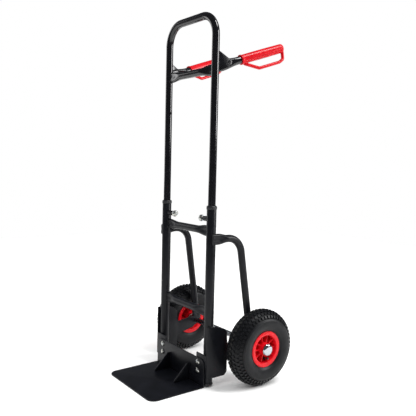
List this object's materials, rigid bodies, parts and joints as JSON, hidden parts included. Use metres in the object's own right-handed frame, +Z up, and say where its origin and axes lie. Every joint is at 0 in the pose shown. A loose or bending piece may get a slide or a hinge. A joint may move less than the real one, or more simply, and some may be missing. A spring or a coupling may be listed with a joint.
{
  "type": "hand truck",
  "caption": "Upright tubular hand truck with a toe plate, air-filled wheels, guarded rear grips and an upper frame that slides down into the lower tubes.",
  "frame": {"origin": "on the floor, midway between the two uprights centre lines", "axes": "+Z up along the uprights, +X to the right seen from the load side, +Y towards the handles and wheels"},
  "size_m": [0.535, 0.5101, 1.2405],
  "materials": {
    "black_enamel": "gloss black enamel on steel",
    "black_plastic": "moulded black polyamide",
    "axle_steel": "blackened steel bar",
    "zinc_steel": "bright zinc plate",
    "chrome_cap": "bright chrome plate",
    "spring_steel": "drawn spring wire",
    "red_plastic": "moulded gloss red polypropylene",
    "tyre_rubber": "moulded black rubber with block tread",
    "tube_rubber": "plain black rubber",
    "bearing_nylon": "natural nylon"
  },
  "bodies": {
    "frame": {"outer_tube_left": "black_enamel", "outer_tube_right": "black_enamel", "guide_collar_left": "black_plastic", "guide_collar_right": "black_plastic", "foot_plugs": "black_plastic", "lower_crossbar_top": "black_enamel", "lower_crossbar_bottom": "black_enamel", "brace_left": "black_enamel", "brace_right": "black_enamel", "axle_plate_left": "black_enamel", "axle_plate_right": "black_enamel", "axle": "axle_steel", "axle_spacers": "black_plastic", "axle_washers": "zinc_steel", "axle_cap_left": "chrome_cap", "axle_cap_right": "chrome_cap", "toe_plate": "black_enamel", "toe_plate_ribs": "black_enamel", "toe_plate_bolts": "zinc_steel", "toe_plate_nuts": "zinc_steel", "lock_housing_left": "black_enamel", "lock_housing_right": "black_enamel", "lock_spring_left": "spring_steel", "lock_spring_right": "spring_steel"},
    "upper": {"upper_frame": "black_enamel", "upper_crossbar": "black_enamel", "slide_bush_left": "black_plastic", "slide_bush_right": "black_plastic", "handle_tube_left": "black_enamel", "handle_tube_right": "black_enamel", "gusset_left": "black_enamel", "gusset_right": "black_enamel", "gusset_rivets": "zinc_steel", "handle_grip_left": "red_plastic", "handle_grip_right": "red_plastic"},
    "wheel_left": {"tyre_left": "tyre_rubber", "inner_tube_left": "tube_rubber", "rim_left": "red_plastic", "valve_left": "tube_rubber", "hub_bearings_left": "bearing_nylon"},
    "wheel_right": {"tyre_right": "tyre_rubber", "inner_tube_right": "tube_rubber", "rim_right": "red_plastic", "valve_right": "tube_rubber", "hub_bearings_right": "bearing_nylon"},
    "lock_left": {"lock_pin_left": "zinc_steel"},
    "lock_right": {"lock_pin_right": "zinc_steel"}
  },
  "joints": [
    {"name": "upper_slide", "type": "slide", "parent": "frame", "child": "upper", "axis": [0, 0, 1], "range_m": [-0.36, 0]},
    {"name": "wheel_left_spin", "type": "hinge", "parent": "frame", "child": "wheel_left", "pos_m": [-0.219, 0.155, 0.13], "axis": [1, 0, 0], "continuous": true},
    {"name": "wheel_right_spin", "type": "hinge", "parent": "frame", "child": "wheel_right", "pos_m": [0.219, 0.155, 0.13], "axis": [1, 0, 0], "continuous": true},
    {"name": "lock_left_slide", "type": "slide", "parent": "frame", "child": "lock_left", "axis": [-1, 0, 0], "range_m": [0, 0.007]},
    {"name": "lock_right_slide", "type": "slide", "parent": "frame", "child": "lock_right", "axis": [1, 0, 0], "range_m": [0, 0.007]}
  ]
}
